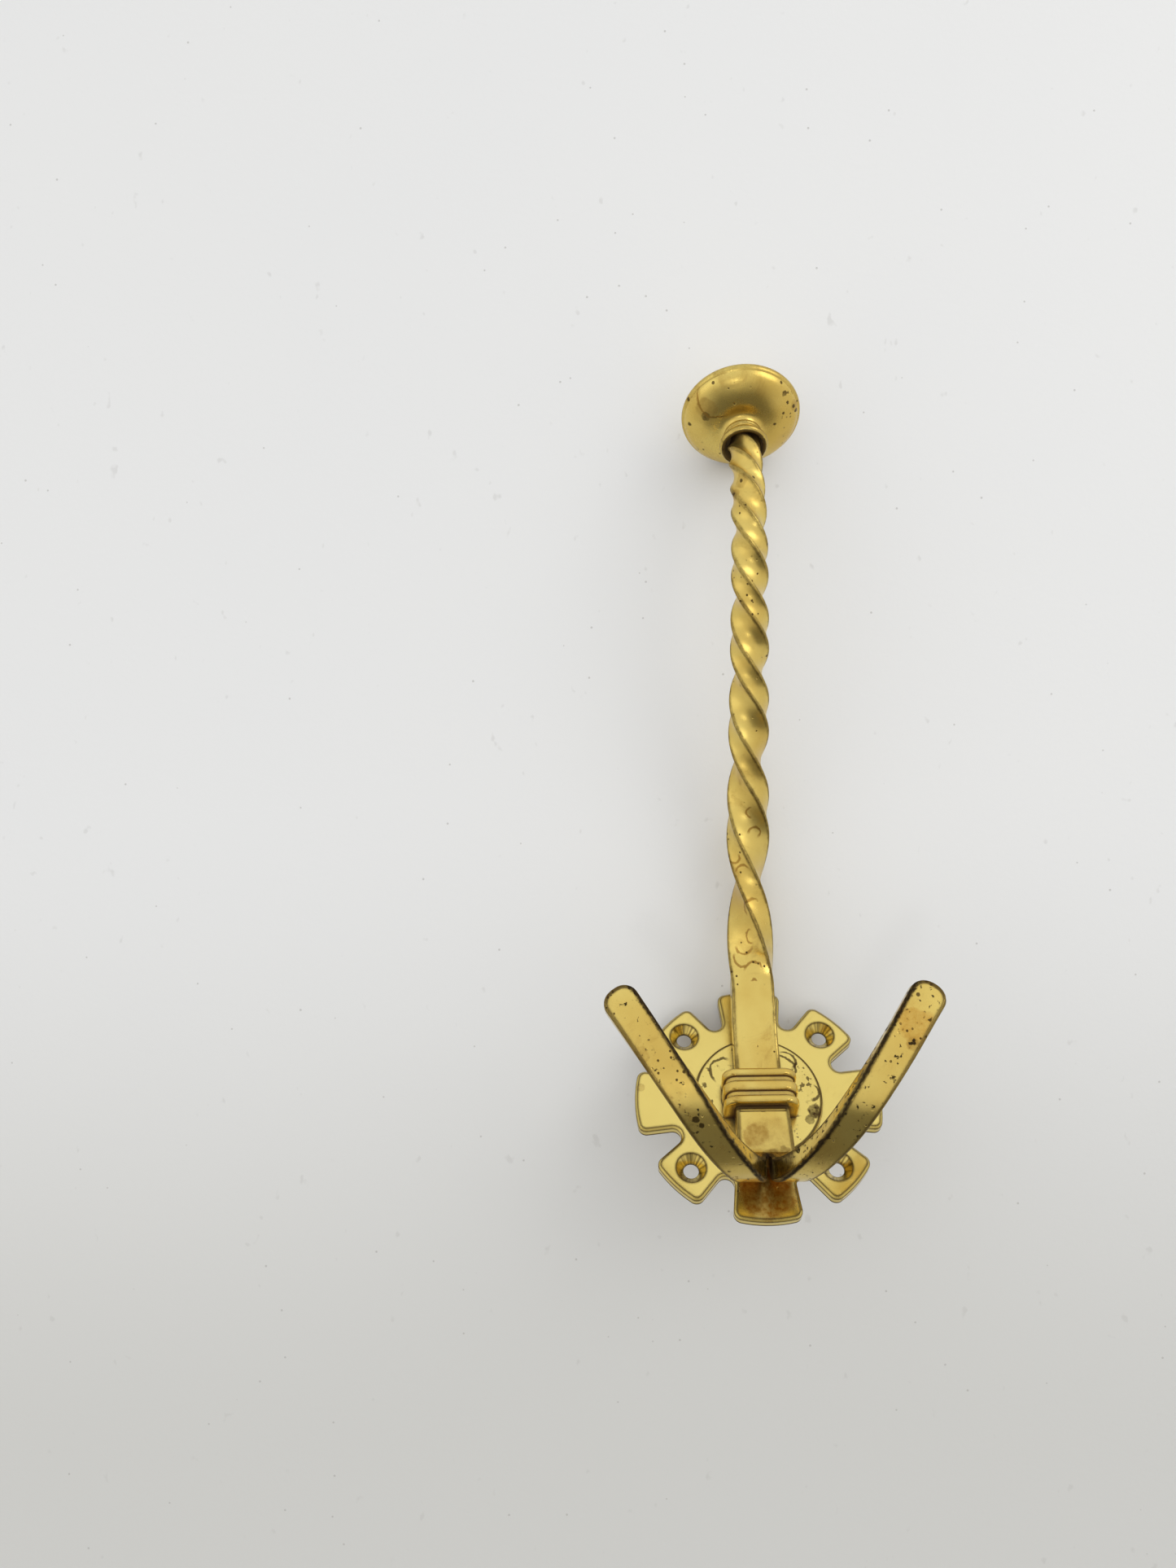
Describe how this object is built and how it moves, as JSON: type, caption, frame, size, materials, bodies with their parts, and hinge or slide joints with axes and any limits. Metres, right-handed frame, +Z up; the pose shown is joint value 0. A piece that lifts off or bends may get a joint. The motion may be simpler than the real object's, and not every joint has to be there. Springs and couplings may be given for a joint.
{
  "type": "coat and hat hook",
  "caption": "Wall-mounted brass coat-and-hat hook: lobed rosette, ridged collar, twisted stem with a mushroom knob, and split upturned prongs.",
  "frame": {"origin": "centre of the wall-screw circle on the rosette's back face, which is the wall plane", "axes": "+X to the right seen from the room, +Z up towards the hat knob, +Y into the wall; the hook stands out towards -Y"},
  "size_m": [0.0944, 0.1562, 0.214],
  "materials": {
    "plate_brass": "polished, aged",
    "collar_brass": "polished, aged",
    "bar_brass": "polished, aged",
    "knob_brass": "polished, aged",
    "screw_steel": "dull"
  },
  "bodies": {
    "root": {"base_plate": "plate_brass", "collar": "collar_brass", "hook_bar": "bar_brass", "hat_knob": "knob_brass", "back_screws": "screw_steel"}
  },
  "joints": []
}
